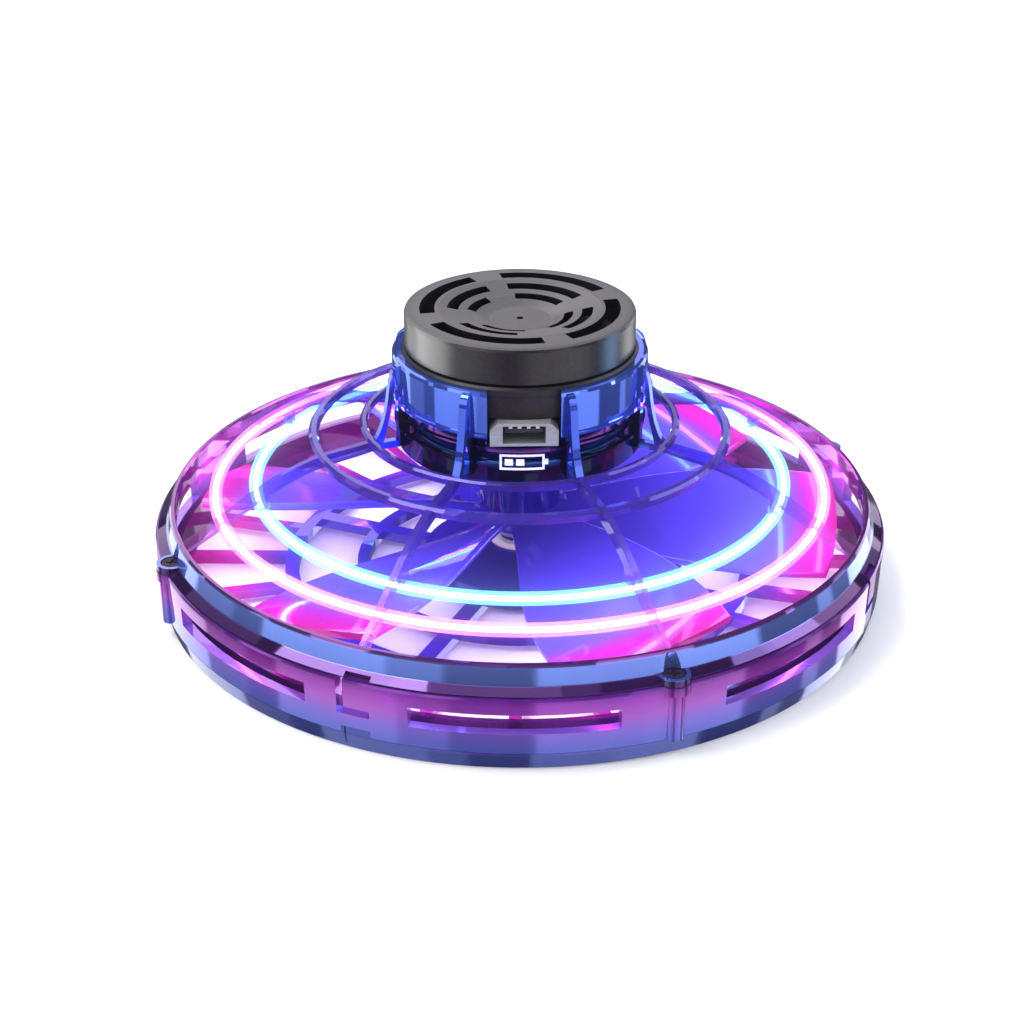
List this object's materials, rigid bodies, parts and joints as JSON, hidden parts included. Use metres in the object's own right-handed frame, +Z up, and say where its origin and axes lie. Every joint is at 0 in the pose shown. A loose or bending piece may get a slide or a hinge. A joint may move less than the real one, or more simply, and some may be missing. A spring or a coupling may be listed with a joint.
{
  "type": "light up spinning top",
  "caption": "Round hand-launched spinning top: a see-through ribbed cage around a hidden propeller, with glowing rings and a slotted finger cap on a ball bearing.",
  "frame": {"origin": "centre of the base ring, on the surface that the toy stands on", "axes": "+Z up along the spin axis; the charging port faces -Y; +X is to the right seen from the port side"},
  "size_m": [0.095, 0.095, 0.0374],
  "materials": {
    "cage_tint": "translucent blue-violet, high gloss",
    "grille_tint": "translucent violet shading to magenta at the rim, high gloss",
    "mount_tint": "translucent indigo",
    "screw_black": "black oxide",
    "drum_tint": "translucent lavender-violet, high gloss",
    "rim_tint": "translucent blue with a mirror-like gloss",
    "collar_tint": "translucent periwinkle blue with a mirror-like gloss",
    "blade_tint": "translucent indigo, high gloss",
    "pink_glow": "lit light guide",
    "cyan_glow": "lit light guide",
    "screw_steel": "satin",
    "hub_black": "satin",
    "board_green": "solder mask",
    "battery_wrap": "shrink wrap",
    "nickel": "satin",
    "chip_black": "matte",
    "led_lens": "clear lens",
    "port_steel": "satin",
    "port_black": "matte",
    "gold_contact": "polished",
    "button_black": "satin",
    "motor_steel": "satin",
    "magnet": "sintered",
    "motor_plastic": "matte",
    "shaft_steel": "polished",
    "copper_wire": "enamelled wire",
    "cap_black": "satin charcoal",
    "bearing_steel": "polished",
    "ball_cage_nylon": "matte"
  },
  "bodies": {
    "cage": {"bottom_grille": "grille_tint", "lower_drum": "drum_tint", "upper_rim": "rim_tint", "cage_inner_ring": "cage_tint", "cage_outer_ring": "cage_tint", "pink_light_ring": "pink_glow", "cyan_light_ring": "cyan_glow", "cage_spokes": "cage_tint", "collar": "collar_tint", "rim_screws": "screw_black", "hub_body": "hub_black", "hub_lid": "hub_black", "hub_lid_screws": "screw_steel", "circuit_board": "board_green", "battery": "battery_wrap", "battery_tabs": "nickel", "control_chip": "chip_black", "board_leds": "led_lens", "charge_port_shell": "port_steel", "port_tongue": "port_black", "port_contacts": "gold_contact", "power_switch": "chip_black", "motor_mount": "mount_tint", "motor_can": "motor_steel", "motor_magnet": "magnet", "motor_endcap": "motor_plastic", "motor_terminals": "gold_contact", "cap_spindle": "shaft_steel", "bearing_inner_race": "bearing_steel", "pad_bush": "ball_cage_nylon"},
    "propeller": {"propeller": "blade_tint", "motor_shaft": "shaft_steel", "motor_winding": "copper_wire"},
    "finger_cap": {"finger_cap": "cap_black", "bearing_outer_race": "bearing_steel"},
    "bearing_balls": {"bearing_balls": "bearing_steel", "bearing_ball_cage": "ball_cage_nylon"},
    "power_button": {"power_button": "button_black"},
    "finger_pad": {"bottom_finger_pad": "cap_black", "pad_clip": "shaft_steel"}
  },
  "joints": [
    {"name": "propeller_spin", "type": "hinge", "parent": "cage", "child": "propeller", "pos_m": [0, 0, 0.0085], "axis": [0, 0, 1], "continuous": true},
    {"name": "finger_cap_spin", "type": "hinge", "parent": "cage", "child": "finger_cap", "pos_m": [0, 0, 0.0333], "axis": [0, 0, 1], "continuous": true},
    {"name": "bearing_ball_orbit", "type": "hinge", "parent": "cage", "child": "bearing_balls", "pos_m": [0, 0, 0.0333], "axis": [0, 0, 1], "continuous": true},
    {"name": "finger_pad_spin", "type": "hinge", "parent": "cage", "child": "finger_pad", "pos_m": [0, 0, 0.0036], "axis": [0, 0, 1], "continuous": true},
    {"name": "power_button_press", "type": "slide", "parent": "cage", "child": "power_button", "axis": [0, -1, 0], "range_m": [0, 0.0005], "stiffness_N_per_m": 600}
  ],
  "couplings": [
    {"joint": "bearing_ball_orbit", "follows": "finger_cap_spin", "ratio": 0.6}
  ]
}
